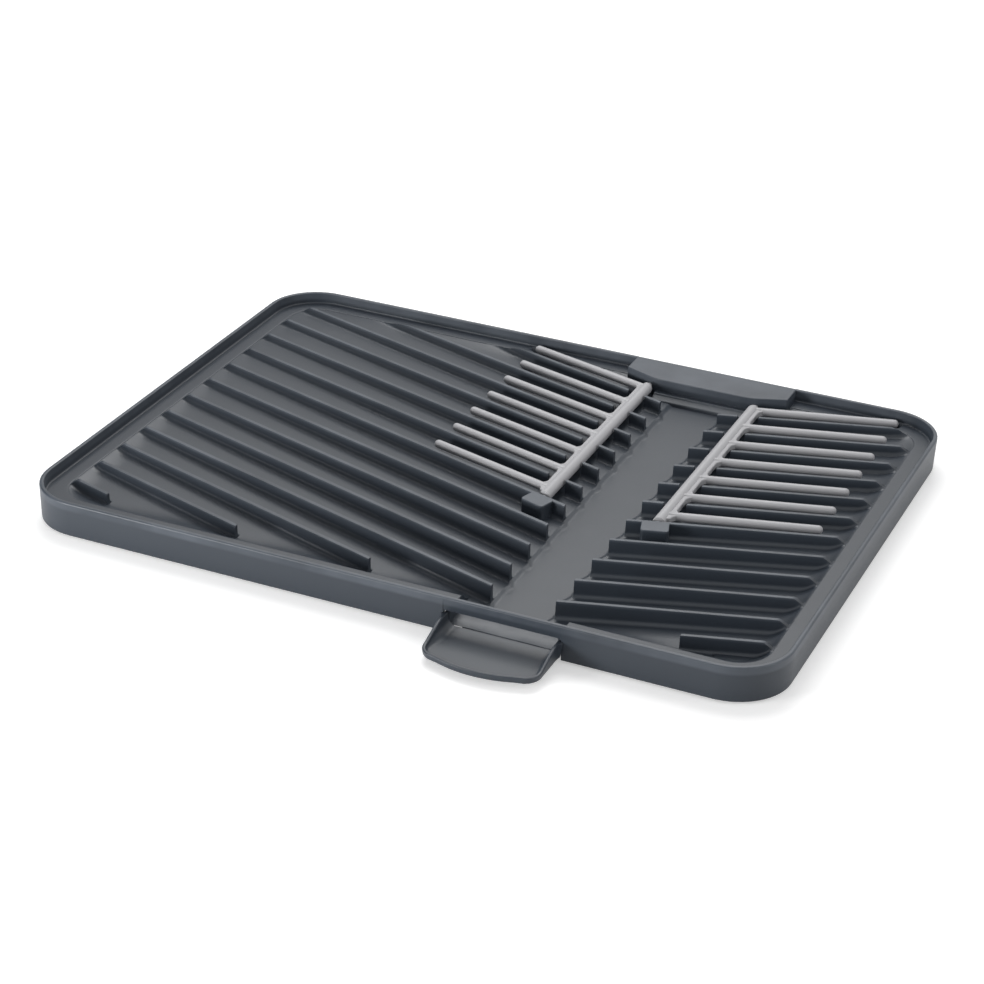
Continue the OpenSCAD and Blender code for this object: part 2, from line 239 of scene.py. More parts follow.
def floor_height(x, y):
    """Floor without its ribs. Two sloping planes, for the channel and the valleys, join in a soft step that
    bulges in front of each rib, and near the ledge the floor rises in a scoop: its share of the way up is
    the square of how far the point is inside the scoop's length."""
    off = np.abs(x - channel_x)
    phase = rib_phase(x, y) % 1
    valley = valley_z + 0.0166 * (off - channel_half)
    valley = valley + 2.6 * MM * (y - rear_y + 40 * MM) / channel_length
    channel = channel_z + 2.1 * MM * (y - channel_rear_y) / channel_length
    bulge = 1.7 * MM * np.exp(-((phase - 0.2) / 0.13) ** 2)
    in_valley = smooth((off - channel_half + 2.6 * MM + bulge) / (3.2 * MM))
    in_valley = in_valley * smooth((y - field_front + 1 * MM) / (2 * MM))
    low = np.minimum(channel + (valley - channel) * in_valley, scoop_z)
    to_outlet = np.clip(1 - (y - front_y - rim_wall - 0.25 * MM) / (7 * MM), 0, 1)
    low = low - 1.45 * MM * to_outlet**2
    scoop = (7 + 4 * np.sin(math.pi * phase)) * MM
    rise = np.clip(1 - inside_field(x, y) / scoop, 0, 1) ** 2
    height = low + (scoop_z - low) * rise
    return np.minimum(height, trough_height(x, y))


# %% Section of a rib
rib_half, rib_foot, rib_edge, rib_fillet = 1.05 * MM, 1.3 * MM, 0.32 * MM, 2.3 * MM
front_end = 7.0 * MM


def rib_end_offset(rib):
    """Distance from the channel's centre line at which a rib ends: at the channel, or at the front ledge."""
    return np.maximum(channel_half, (field_front + front_end - rib_line_y + rib_pitch * rib) / rib_slope)


def rib_height(x, y, floor):
    """Height of the ribs above the floor. Across a rib: a flat top, a quarter-round edge, a wall with
    draft, and a concave fillet at the foot. Along it: full height, less a ramp down to the ledge."""
    off = np.abs(x - channel_x)
    rib = np.round(rib_phase(x, y))
    away = np.abs(rib_phase(x, y) - rib) * rib_pitch * rib_cos
    in_gap = (off > shaft_gap[0]) & (off < shaft_gap[1]) & (rib < boss_rib)
    present = (rib >= 0) & (off > rib_end_offset(rib)) & ~in_gap
    top = np.minimum(rib_z, ledge_z - 0.4 * MM + 0.85 * inside_field(x, y))
    full = np.maximum(top - floor, 0) * present
    beyond = np.clip(away - rib_half + rib_edge, 0, rib_edge)
    crown = full - rib_edge + np.sqrt(rib_edge**2 - beyond**2)
    wall = full - rib_edge - (full - rib_edge - rib_fillet) * (away - rib_half) / (rib_foot - rib_half)
    curve = np.clip(rib_foot + rib_fillet - away, 0, rib_fillet)
    foot = rib_fillet - np.sqrt(rib_fillet**2 - curve**2)
    height = np.where(away <= rib_half, crown, np.where(away < rib_foot, wall, foot))
    return np.clip(height, 0, full)


# %% Lines of the slanted grid
def both_sides(value, half_gap=0.03 * MM):
    """Two grid lines close together, for an upright step at a value."""
    return [value - half_gap, value + half_gap]


# Distances from the middle of a rib, closest together where its section bends.
across = np.array([0, 0.73, 0.83, 0.93, 1.01, 1.05, 1.3, 1.36, 1.6, 2.0, 2.7, 3.6, 5.2, 7.4, 9.4])
across = across * MM / rib_cos
rib_numbers = np.arange(-2, 16)
slanted = np.unique(np.round(np.concatenate(
    [rib_line_y - rib_pitch * k + sign * across for k in rib_numbers for sign in (-1, 1)]), 7))


def offsets_to(limit, ribs):
    """Distances from the channel's centre line at which the grid has a line, out to the field's side."""
    shared = np.concatenate([[0, 6 * MM], np.arange(11.2, 18.4, 0.4) * MM])
    ends = [v for e in rib_end_offset(np.arange(ribs)) for v in both_sides(e)]
    steps = both_sides(bay_half) + both_sides(shaft_gap[0]) + both_sides(shaft_gap[1])
    scoop = limit - np.array([-1, 0, 0.7, 1.5, 2.3, 3.2, 4.1, 5.2, 6.4, 7.8, 9.4, 11.2]) * MM
    plain = np.arange(22 * MM, limit - 13 * MM, 6.5 * MM)
    return np.unique(np.concatenate([shared, ends, steps, scoop, plain]))


left_offsets = offsets_to(field_x + channel_x, 14)
right_offsets = offsets_to(field_x - channel_x, 12)
column_x = np.concatenate([channel_x - left_offsets[::-1], channel_x + right_offsets[1:]])
print(len(column_x), "columns,", len(slanted), "slanted lines")

# %% The floor as one closed piece
lowest_under = 4.7 * MM
x = column_x[:, None]
low_y = np.where(np.abs(x - channel_x) < bay_half, front_y + rim_wall + 0.25 * MM, field_front - 1 * MM)
y = np.clip(slanted[None, :] + rib_slope * np.abs(x - channel_x), low_y, field_rear + 1 * MM)
bare = floor_height(x, y)
upper = place(x, y, bare + rib_height(x, y, bare))
lower = place(x, y, np.minimum(bare - 0.1 * MM, np.maximum(bare - floor_wall, lowest_under)))
rows, columns = upper.shape[:2]
rim_index = np.concatenate([
    np.arange(columns), np.arange(1, rows) * columns + columns - 1,
    (rows - 1) * columns + np.arange(columns - 1)[::-1], np.arange(1, rows - 1)[::-1] * columns])
edge = np.stack([upper.reshape(-1, 3)[rim_index], lower.reshape(-1, 3)[rim_index]])
floor_shape = joined(grid(upper), grid(lower), grid(edge, wrap_columns=True))
make_piece("ribbed_floor", floor_shape, "base", "tray", "slate_plastic", sharp=50)

# %% [markdown]
# ## Rim and ledge
# The wall round the tray, with its rolled top and the flat ledge inside, has the same section nearly
# all the way round, so it is a profile carried along a rounded rectangle. Each row of the profile is
# that rectangle moved inwards by its own amount. Where the spout, the outlet, the bridge and the rear
# pegs need room, the rows are lifted, drawn back or lowered by plain functions of the place.

# %% Stations along the rounded rectangle
corner_x = half_length - corner_r
notch_half, notch_r, notch_z = 30.25 * MM, 2.0 * MM, rim_z - 7 * MM
bridge_low, bridge_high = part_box("rear_bridge")
bridge_half = bridge_high.x - channel_x
notch_bend = (notch_half - notch_r + notch_r * np.sin(np.radians(np.linspace(0, 88, 7)))).tolist()
front_marks = np.array([
    sign * v for sign in (-1, 1)
    for v in notch_bend + both_sides(bay_half) + [notch_half - 0.001 * MM, notch_half + 0.02 * MM]])
front_x = np.unique(np.concatenate([channel_x + front_marks, np.linspace(-corner_x, corner_x, 30)]))
bridge_marks = channel_x + np.array(
    [sign * v for sign in (-1, 1) for v in both_sides(bridge_half - 0.4 * MM)])
rear_x = np.unique(np.concatenate([
    np.arange(-52 * MM, corner_x, 1.6 * MM), np.linspace(-corner_x, -54 * MM, 12),
    [corner_x], bridge_marks]))[::-1]
side_share = np.linspace(0, 1, 14)[1:-1]


def ring(side, front, rear):
    """The tray's outline moved in by three amounts: straight runs at the front, right, rear and left with
    quarter circles between. A corner's centre keeps its x, and its radius shrinks by the side's amount."""
    radius = corner_r - side
    low, high = front_y + front + radius, rear_y - rear - radius
    rising = low + (high - low) * side_share
    return np.concatenate([
        np.stack([front_x, np.full_like(front_x, front_y + front)], -1),
        arc(corner_x, low, radius, -90, 0, 16)[1:],
        np.stack([np.full_like(rising, half_length - side), rising], -1),
        arc(corner_x, high, radius, 0, 90, 16)[:-1],
        np.stack([rear_x, np.full_like(rear_x, rear_y - rear)], -1),
        arc(-corner_x, high, radius, 90, 180, 16)[1:],
        np.stack([np.full_like(rising, side - half_length), rising[::-1]], -1),
        arc(-corner_x, low, radius, 180, 270, 16)[:-1]])


# %% Rows of the rim's section
def even(inset, height):
    """A row that is moved in by the same amount all round."""
    return (inset * MM, inset * MM, inset * MM, height)


def ledge_row(share, height):
    """A row on the ledge: share 0 at the foot of the wall and 1 at the field's edge."""
    start = 3.4 * MM
    return tuple(start + (end - start) * share for end in (ledge_side, ledge_front, ledge_rear)) + (height,)


quarter = np.radians(np.linspace(0, 90, 5))
wall_rows = [even(1.0, skirt_z), even(0.7, skirt_z + 0.1 * MM), even(0.55, skirt_z + 0.4 * MM)]
wall_rows += [even(1.0 - np.cos(a), rim_z - 1.0 * MM + np.sin(a) * MM) for a in quarter]
wall_rows += [even(1.8 + 0.6 * np.sin(a), rim_z - 0.6 * (1 - np.cos(a)) * MM) for a in quarter]
wall_rows += [even(3.4 - 0.9 * np.cos(a), ledge_z + 0.9 * (1 - np.sin(a)) * MM) for a in quarter]
shares = np.linspace(0, 1, 9)[1:]
edge_in = 0.8 * MM
ledge_rows = [ledge_row(s * 0.92, ledge_z) for s in shares]
ledge_rows += [ledge_row(1 - 0.08 * (1 - np.sin(a)), ledge_z - edge_in * (1 - np.cos(a)))
               for a in quarter[1:]]
under_rows = [ledge_row(s, ledge_z - shell) for s in shares[::-1]]
low_rows = [even(2.6, ledge_z - shell - 0.4 * MM), even(2.0, skirt_z + 0.4 * MM),
            even(1.8, skirt_z + 0.1 * MM), even(1.4, skirt_z)]
section = wall_rows + ledge_rows + under_rows + low_rows
kinds = np.array(["wall"] * len(wall_rows) + ["ledge"] * len(ledge_rows) + ["under"] * len(under_rows)
                 + ["low"] * len(low_rows))[:, None]

# %% Fitting the rows round the outlet, bridge and rear pegs
rings = np.stack([ring(*row[:3]) for row in section])
ring_x, ring_y = rings[..., 0], rings[..., 1]
ring_z = np.array([row[3] for row in section])[:, None] + np.zeros_like(ring_x)
off = np.abs(ring_x - channel_x)
at_front = ring_y < front_y + ledge_front + 1 * MM
bend = np.clip(off - (notch_half - notch_r), 0, notch_r)
notch_roof = np.where(off < notch_half, notch_z - notch_r + np.sqrt(notch_r**2 - bend**2), 0)
at_bay = at_front & (off < bay_half) & np.isin(kinds, ["ledge", "under"])
ring_y = np.where(at_bay, front_y + rim_wall, ring_y)
ring_z = np.where(at_bay, notch_z, ring_z)
ring_z = np.where(at_front & (off < notch_half), np.maximum(ring_z, notch_roof), ring_z)
hollow = trough_height(ring_x, ring_y)
ring_z = np.where(kinds == "ledge", np.minimum(ring_z, hollow), ring_z)
ring_z = np.where(kinds == "under", np.minimum(ring_z, hollow - floor_wall), ring_z)
under_cap = (ring_y > field_rear) & (off < bridge_half - 0.4 * MM) & (ring_z > rim_z - 2 * MM)
ring_z = np.where(under_cap, rim_z - 1.2 * MM, ring_z)
rim_shape = grid(place(ring_x, ring_y, ring_z), True, True)
make_piece("rim_and_ledge", rim_shape, "base", "tray", "slate_plastic", sharp=50)

# %% [markdown]
# ## Blocks of the tray
# A few parts of the moulding are plain: the two blocks that hold the combs' front pins, the cheeks
# beside the outlet and the rails that hold the spout's tongue are prisms with a Bevel modifier. The
# steps behind the channel are a profile drawn across it, and the bosses over the feet are turned.

# %% Blocks for the front pins
def along_rib(side, along, forward):
    """Points given along a rib and across it, put beside the shaft where the combs' front pins are."""
    start_y = rib_line_y - rib_pitch * boss_rib + rib_slope * shaft_offset
    off = shaft_offset + along * rib_cos - forward * rib_cos * rib_slope
    up = start_y + along * rib_cos * rib_slope + forward * rib_cos
    return np.stack([channel_x + side * off, up], -1)


for side, word in ((-1, "left"), (1, "right")):
    local = rounded_box(-7.6 * MM, 6.6 * MM, -9.8 * MM, 0.9 * MM, 1.8 * MM)
    outline = along_rib(side, local[:, 0], local[:, 1])
    block = prism(outline, block_z, rib_z + 0.12 * MM)
    make_piece("pivot_block_" + word, block, "base", "tray", "slate_plastic", bevel=0.45 * MM)

# %% Steps behind the channel
step_half = shaft_gap[0]
step_rear_y = rear_y - 20 * MM
step_profile = np.concatenate([
    [[channel_rear_y - 1.2 * MM, block_z]],
    arc(channel_rear_y, rim_z - 10.4 * MM, 1.0 * MM, 180, 90, 5),
    arc(channel_rear_y + 3.4 * MM, rim_z - 8.2 * MM, 1.0 * MM, 180, 90, 5),
    [[step_rear_y, rim_z - 7.2 * MM], [step_rear_y, block_z]]])
step_x = channel_x + np.array([-step_half, step_half])
step_walls, step_faces = grid(place(step_x[:, None], step_profile[None, :, 0], step_profile[None, :, 1]),
                              wrap_columns=True)
step_count = len(step_profile)
step_faces += [list(range(step_count)), list(range(step_count, 2 * step_count))[::-1]]
make_piece("channel_steps", (step_walls, step_faces), "base", "tray", "slate_plastic", sharp=60)

# %% Cheeks of the outlet and rails for the tongue
spout_low, spout_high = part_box("spout")
tongue_half, tongue_end = channel_half + 4 * MM, spout_high.y
for side, word in ((-1, "left"), (1, "right")):
    inner, outer = sorted(channel_x + side * np.array([bay_half - 0.2 * MM, bay_half + 2 * MM]))
    cheek = prism(rounded_box(inner, outer, front_y + 2.3 * MM, field_front - 0.6 * MM, 0.5 * MM),
                  rim_z - 15 * MM, scoop_z)
    make_piece("outlet_cheek_" + word, cheek, "base", "tray", "slate_plastic", bevel=0.3 * MM)
    inner, outer = sorted(channel_x + side * (tongue_half + np.array([0.25, 2.25]) * MM))
    rail_rear = tongue_end - 1.5 * MM
    rail = prism(rounded_box(inner, outer, front_y + 6.4 * MM, rail_rear, 0.5 * MM), 1.7 * MM, 5.6 * MM)
    foot_in, foot_out = sorted(channel_x + side * (tongue_half + np.array([-2.75, 2.05]) * MM))
    lip_plan = rounded_box(foot_in, foot_out, front_y + 6.6 * MM, rail_rear - 0.2 * MM, 0.5 * MM)
    lip = prism(lip_plan, 1.75 * MM, 2.65 * MM)
    make_piece("tongue_rail_" + word, joined(rail, lip), "base", "tray", "slate_plastic", bevel=0.25 * MM)

# %% Bosses and rubber feet
for name in ("foot_front_left", "foot_front_right", "foot_rear_left", "foot_rear_right"):
    low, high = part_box(name)
    foot_x, foot_y = (low.x + high.x) / 2, (low.y + high.y) / 2
    foot_r, foot_top = (high.x - low.x) / 2, high.z
    boss_r = foot_r + shell
    near = foot_x - math.copysign(boss_r, foot_x - channel_x)
    roof = float(floor_height(np.array(near), np.array(foot_y - boss_r))) - 0.9 * MM
    hole_z = foot_top - 1.4 * MM
    boss = [(0, roof), (boss_r, roof), (boss_r, hole_z + 0.4 * MM), (boss_r - 0.4 * MM, hole_z),
            (foot_r + 0.3 * MM, hole_z), (foot_r + 0.1 * MM, hole_z + 0.2 * MM),
            (foot_r + 0.1 * MM, foot_top + 0.02 * MM), (0, foot_top + 0.02 * MM)]
    boss_name = name.replace("foot", "foot_boss")
    make_piece(boss_name, turned(foot_x, foot_y, boss), "base", "tray", "slate_plastic")
    pad = [(0, 0.5 * MM), (3.6 * MM, 0.5 * MM), (4.4 * MM, 0.12 * MM), (4.8 * MM, 0), (5.9 * MM, 0),
           (6.5 * MM, 0.15 * MM), (6.85 * MM, 0.5 * MM), (6.95 * MM, 1.0 * MM), (foot_r, foot_top),
           (0, foot_top)]
    make_piece(name + "_pad", turned(foot_x, foot_y, pad), "base", name, "foot_rubber")

# %% [markdown]
# ## The bridge
# A cap over the combs' rear pins. Its top lies level with the rim and runs over it, and its front edge
# swings back at both ends in two soft bends. It is a prism on an outline whose bends come from a
# softened ramp: the logarithm of 1 plus an exponential, which is 0 on one side and a slope on the other.

# %% Bridge
middle_half, bend_soft = 28 * MM, 1.8 * MM
bridge_slope = 7.5 / 19


def bridge_front(off):
    """Front edge of the bridge: level in the middle and sloping back beyond the bends."""
    ramp = bend_soft * np.log1p(np.exp((np.abs(off) - middle_half) / bend_soft))
    return bridge_low.y + bridge_slope * ramp


bridge_off = np.linspace(-bridge_half, bridge_half, 61)
back_line = rear_y - 0.55 * MM
bridge_outline = np.concatenate([
    np.stack([channel_x + bridge_off, bridge_front(bridge_off)], -1),
    [[channel_x + bridge_half, back_line], [channel_x - bridge_half, back_line]]])
bridge_top = prism(bridge_outline, rim_z - 10.6 * MM, rim_z)
make_piece("bridge_cap", bridge_top, "base", "rear_bridge", "slate_plastic", bevel=0.6 * MM)

# %% [markdown]
# ## The combs
# Each comb is one moulding: a shaft with a pin at each end, seven pegs that lean like the ribs, and a
# thin web between them whose slots have round corners. Every round part is a tube: circles along a
# straight line, whose radius changes with the distance along it. The web is a plate with a bevel,
# because its outline in plan, with a quarter circle at each corner of a slot, is all that it needs.

# %% A tube with a changing radius
def tube(start, direction, along, radius, steps=28, lean=0.0):
    """Circles round a straight line, each with its own distance along it and its own radius. Lean shifts
    each point along the line in proportion to its sideways distance, which cuts the ends at a slant."""
    direction = np.array(direction) / np.linalg.norm(direction)
    wide = np.cross([0, 0, 1], direction)
    wide = wide / np.linalg.norm(wide)
    high = np.cross(direction, wide)
    angle = np.linspace(0, 2 * math.pi, steps, endpoint=False)
    sideways = radius[:, None] * np.cos(angle)
    upwards = radius[:, None] * np.sin(angle)
    forward = along[:, None] + lean * sideways
    points = (np.array(start) + forward[..., None] * direction + sideways[..., None] * wide
              + upwards[..., None] * high)
    return grid(points, wrap_columns=True)


def rounded_ends(length, radius, round_start, round_end, steps=6):
    """Distances along a tube and its radius there, with an elliptic end of each given length."""
    angle = np.radians(np.linspace(0, 90, steps + 1))
    bend = 1 - np.cos(angle)
    along = np.concatenate([round_start * bend, length - round_end * bend[::-1]])
    half = radius * np.concatenate([np.sin(angle), np.sin(angle[::-1])])
    return along, half


# %% Pegs, shaft, pins and web of one comb
shaft_r, web_half = 3.1 * MM, 1.65 * MM
web_reach, slot_r, peg_count = 4.6 * MM, 4.2 * MM, 7
tooth_half = 1.4 * MM
droop = math.radians(0.7)
pin_length = 5 * MM
shaft_rear = bridge_low.y - 1.0 * MM
shaft_front = rib_line_y - rib_pitch * boss_rib + rib_slope * shaft_offset + 2.7 * MM


def comb_parts(side):
    """The shaft, the pins and the pegs of one comb. The shaft's front end is nearly flat, and one long
    tube through the shaft makes both pins."""
    axis = np.array([channel_x + side * shaft_offset, 0, shaft_z])
    peg_way = np.array([side * rib_cos * math.cos(droop), rib_cos * rib_slope, -rib_cos * math.sin(droop)])
    along, half = rounded_ends(shaft_rear - shaft_front, shaft_r, 0.35 * MM, 2.4 * MM)
    half[1:7] = np.maximum(half[1:7], shaft_r - 0.35 * MM)
    lean = -side * rib_slope * 0.8
    parts = [tube(axis + [0, shaft_front, 0], [0, 1, 0], along, half, 40, lean)]
    pins_length = shaft_rear - shaft_front + 2 * pin_length - 0.2 * MM
    pin, pin_half = rounded_ends(pins_length, 1.2 * MM, 0.3 * MM, 0.3 * MM)
    parts.append(tube(axis + [0, shaft_front - pin_length + 0.1 * MM, 0], [0, 1, 0], pin, pin_half))
    peg_along, peg_half = rounded_ends(peg_length + peg_r, peg_r, 0.2 * MM, peg_r)
    for k in range(peg_count):
        peg_y = rib_line_y + rib_slope * shaft_offset + rib_pitch / 2 - rib_pitch * k
        start = axis + [0, peg_y, 0]
        parts.append(tube(start, peg_way, peg_along, peg_half))
    return parts


def web_outline(side):
    """Plan of the web: a strip beside the shaft with a tooth into each peg. A tooth's half width is its
    own plus what a quarter circle leaves beside it, so the slots between the pegs have round corners."""
    turn = np.radians(np.linspace(0, 90, 8))
    reach = web_reach + slot_r * (1 - np.cos(turn))
    half = tooth_half + slot_r * (1 - np.sin(turn))
    reach, half = np.append(reach, peg_length * 0.3), np.append(half, tooth_half)
    first_y = rib_line_y + rib_slope * shaft_offset + rib_pitch / 2
    middles = first_y - rib_pitch * np.arange(peg_count)[:, None] + rib_slope * reach
    behind = np.where(np.arange(peg_count)[:, None] > 0, half, tooth_half)
    along = np.concatenate(
        [np.broadcast_to(reach, middles.shape), np.broadcast_to(reach[::-1], middles.shape)], 1)
    y = np.concatenate([middles + behind, (middles - half)[:, ::-1]], 1)
    web_front = shaft_front + 2 * shaft_r * rib_slope + 0.6 * MM
    end = [[0.5 * MM, web_front], [0.5 * MM, first_y + rib_slope * web_reach + tooth_half]]
    outline = np.concatenate([np.stack([along.ravel(), y.ravel()], -1), end])
    outline[:, 1] = np.maximum(outline[:, 1], web_front)
    outline[:, 0] = channel_x + side * (shaft_offset + outline[:, 0])
    return outline


def web_parts(side):
    """The web's outline as a plate whose heights droop with the pegs."""
    points, faces = prism(web_outline(side), shaft_z - web_half, shaft_z + web_half)
    points[:, 2] -= np.abs(points[:, 0] - channel_x - side * shaft_offset) * math.sin(droop)
    return points, faces


for side, word in ((-1, "left"), (1, "right")):
    comb = joined(*comb_parts(side))
    make_piece(word + "_peg_comb", comb, word + "_rack", word + "_comb", "pale_plastic", sharp=45)
    make_piece(word + "_comb_web", web_parts(side), word + "_rack", word + "_comb", "pale_plastic",
               sharp=50, bevel=0.7 * MM)

# %% [markdown]
# ## The spout
# A shallow scoop. Its plan has straight sides, two round corners and a front that bows a little, and
# its walls fall from the tray to a low lip. The section, from the middle of the floor up the inside of
# the wall, over its top and back under the floor, is carried round that plan: each of its rows is the
# plan moved inwards along its own normals.

# %% Plan of the spout, with its inward normals
spout_half, spout_r, spout_bow = (spout_high.x - spout_low.x) / 2, 9 * MM, 4 * MM
flat_half = spout_half - spout_r
bow_r = (flat_half**2 + spout_bow**2) / (2 * spout_bow)
sweep = math.degrees(math.asin(flat_half / bow_r))
shoulder_y = spout_low.y + spout_bow + spout_r
wall_back = front_y + rim_wall
corner_points, bow_points = 10, 24
straight = np.concatenate([[wall_back, front_y + 0.4 * MM, front_y - 0.05 * MM],
                           front_y - np.array([0.4, 0.9, 1.6, 2.6, 4, 6, 9, 13]) * MM, [shoulder_y + 1 * MM]])


def spout_plan():
    """Points and inward normals along the left side, round the front and along the right side."""
    turn = [np.linspace(180, 270 - sweep, corner_points),
            np.linspace(270 - sweep, 270 + sweep, bow_points + 2)[1:-1],
            np.linspace(270 + sweep, 360, corner_points)]
    angle = np.radians(np.concatenate(turn))
    counts = [corner_points, bow_points, corner_points]
    radius = np.repeat([spout_r, bow_r, spout_r], counts)
    centre_x = channel_x + np.repeat([-flat_half, 0, flat_half], counts)
    centre_y = np.repeat([shoulder_y, spout_low.y + bow_r, shoulder_y], counts)
    bent = np.stack([centre_x + radius * np.cos(angle), centre_y + radius * np.sin(angle)], -1)
    inwards = -np.stack([np.cos(angle), np.sin(angle)], -1)
    left = np.stack([np.full_like(straight, channel_x - spout_half), straight], -1)
    right = np.stack([np.full_like(straight, channel_x + spout_half), straight[::-1]], -1)
    to_right, to_left = np.tile([1.0, 0.0], (len(straight), 1)), np.tile([-1.0, 0.0], (len(straight), 1))
    return np.concatenate([left, bent, right]), np.concatenate([to_right, inwards, to_left])


# %% Section of the spout carried round its plan
plan, inwards = spout_plan()
spout_wall, spout_floor, spout_under = 1.9 * MM, spout_low.z + 1.6 * MM, spout_low.z
fall = np.clip((front_y - 3 * MM - plan[:, 1]) / (front_y - 3 * MM - spout_low.y - spout_r), 0, 1)
wall_top = spout_floor + 1.8 * MM + (spout_high.z - spout_floor - 1.8 * MM) * (1 + np.cos(math.pi * fall)) / 2
fillet = np.minimum(4.0 * MM, (wall_top - spout_floor) * 0.75)
outside = (plan[:, 1] < front_y) & (plan[:, 1] > front_y - 5 * MM)
flare = np.where(outside, 1.3 * MM * np.clip(1 - (front_y - plan[:, 1]) / (4 * MM), 0, 1) ** 2, 0)
floor_in = spout_r - 0.4 * MM
spout_rows = [(floor_in, spout_floor), (spout_wall + fillet + 0.5 * MM, spout_floor)]
spout_rows += [(spout_wall + fillet * (1 - np.sin(a)), spout_floor + fillet * (1 - np.cos(a)))
               for a in np.radians(np.linspace(0, 90, 7))]
spout_rows += [(spout_wall - 0.7 * MM * (1 - np.cos(a)), wall_top - 0.7 * MM * (1 - np.sin(a)))
               for a in quarter]
spout_rows += [(0.7 * MM * (1 - np.sin(a)) - flare, wall_top - 0.7 * MM * (1 - np.cos(a))) for a in quarter]
spout_rows += [(0.25 * MM - flare * 0.4, spout_under + 1.0 * MM),
               (0.55 * MM - flare * 0.4, spout_under + 0.3 * MM),
               (1.2 * MM, spout_under), (floor_in, spout_under)]
spine_y = np.clip(plan[:, 1], spout_low.y + 14 * MM, None)
spine = np.stack([np.full_like(spine_y, channel_x), spine_y], -1)
flat = [(plan + inwards * np.broadcast_to(inset, fall.shape)[:, None], height)
        for inset, height in spout_rows]
flat = [(spine, spout_floor)] + flat + [(spine, spout_under)]
spout_points = np.stack([place(p[:, 0], p[:, 1], height) for p, height in flat])
points, faces = grid(spout_points)
row_count, station_count = spout_points.shape[:2]
faces += [[r * station_count for r in range(row_count)],
          [r * station_count + station_count - 1 for r in range(row_count)][::-1]]
tongue_plan = rounded_box(
    channel_x - tongue_half, channel_x + tongue_half, front_y + 0.5 * MM, tongue_end, 2 * MM)
tongue = prism(tongue_plan, spout_under + 0.02 * MM, spout_floor - 0.02 * MM)
spout_shape = joined((points, faces), tongue)
make_piece("pouring_spout", spout_shape, "base", "spout", "slate_plastic", sharp=50)

# %% [markdown]
# ## Finishes
# All three finishes are moulded, not painted. The slate and the pale plastic have the fine satin grain
# of a spark-eroded mould, so their colour and gloss hardly change, and very small bumps break up the
# reflections. The slate is paler and duller on the rib tops and the rim: partly rub wear from dishes, and
# partly painted light that makes the tops lighter. The pale combs are lighter on their upper side.
# A small class makes shader sums readable: each operator on a socket adds the Math node that does it.

# %% Shader sums as Python expressions
class Value:
    """A socket that can be added, multiplied and so on, with each step as a Math node."""

    def __init__(self, sheet, socket):
        self.sheet, self.socket = sheet, socket

    def sum(self, operation, *others, clamp=False):
        settings = {"operation": operation, "use_clamp": clamp}
        return self.sheet.node("ShaderNodeMath", settings, {i: v for i, v in enumerate((self,) + others)})

    def __add__(self, other):
        return self.sum("ADD", other)

    def __sub__(self, other):
        return self.sum("SUBTRACT", other)

    def __rsub__(self, other):
        return self.sheet.value(other).sum("SUBTRACT", self)

    def __mul__(self, other):
        return self.sum("MULTIPLY", other)

    __radd__ = __add__
    __rmul__ = __mul__

    def between(self, low, high):
        """0 at the low value, 1 at the high one, held inside those."""
        scaled = (self - low) * (1 / (high - low))
        return scaled.sum("ADD", 0.0, clamp=True)


class Sheet:
    """The node tree of one material, with one method that adds any node."""

    def __init__(self, name):
        self.material = bpy.data.materials.new(name)
        self.material.use_nodes = True
        self.tree = self.material.node_tree
        self.shader = self.tree.nodes["Principled BSDF"]
        self.place = self.node("ShaderNodeTexCoord", {}, {}, "Object")

    def node(self, kind, settings, inputs, output=0):
        """Adds a node: its settings first, then each input's value or link, by name or number."""
        made = self.tree.nodes.new(kind)
        for key, setting in settings.items():
            setattr(made, key, setting)
        for key, given in inputs.items():
            if isinstance(given, Value):
                self.tree.links.new(given.socket, made.inputs[key])
            else:
                made.inputs[key].default_value = given
        return Value(self, made.outputs[output])

    def value(self, number):
        return self.node("ShaderNodeMath", {"operation": "ADD"}, {0: float(number), 1: 0.0})

    def noise(self, scale, detail, roughness):
        """Noise of about 0 to 1 whose pattern changes roughly once in 1 / scale metres."""
        return self.node("ShaderNodeTexNoise", {}, {
            "Vector": self.place, "Scale": scale, "Detail": detail, "Roughness": roughness}, "Fac")

    def height(self):
        """The point's own height above what the rack stands on."""
        return self.node("ShaderNodeSeparateXYZ", {}, {"Vector": self.place}, "Z")

    def mix(self, share, first, second):
        """One colour at share 0 and another at share 1."""
        settings = {"data_type": "RGBA", "blend_type": "MIX"}
        return self.node("ShaderNodeMix", settings, {"Factor": share, "A": first, "B": second}, "Result")

    def feed(self, name, given):
        if isinstance(given, Value):
            self.tree.links.new(given.socket, self.shader.inputs[name])
        else:
            self.shader.inputs[name].default_value = given

    def bump(self, height, strength, distance):
        self.feed("Normal", self.node("ShaderNodeBump", {}, {
            "Height": height, "Strength": strength, "Distance": distance}, "Normal"))


print("shader helpers ready")


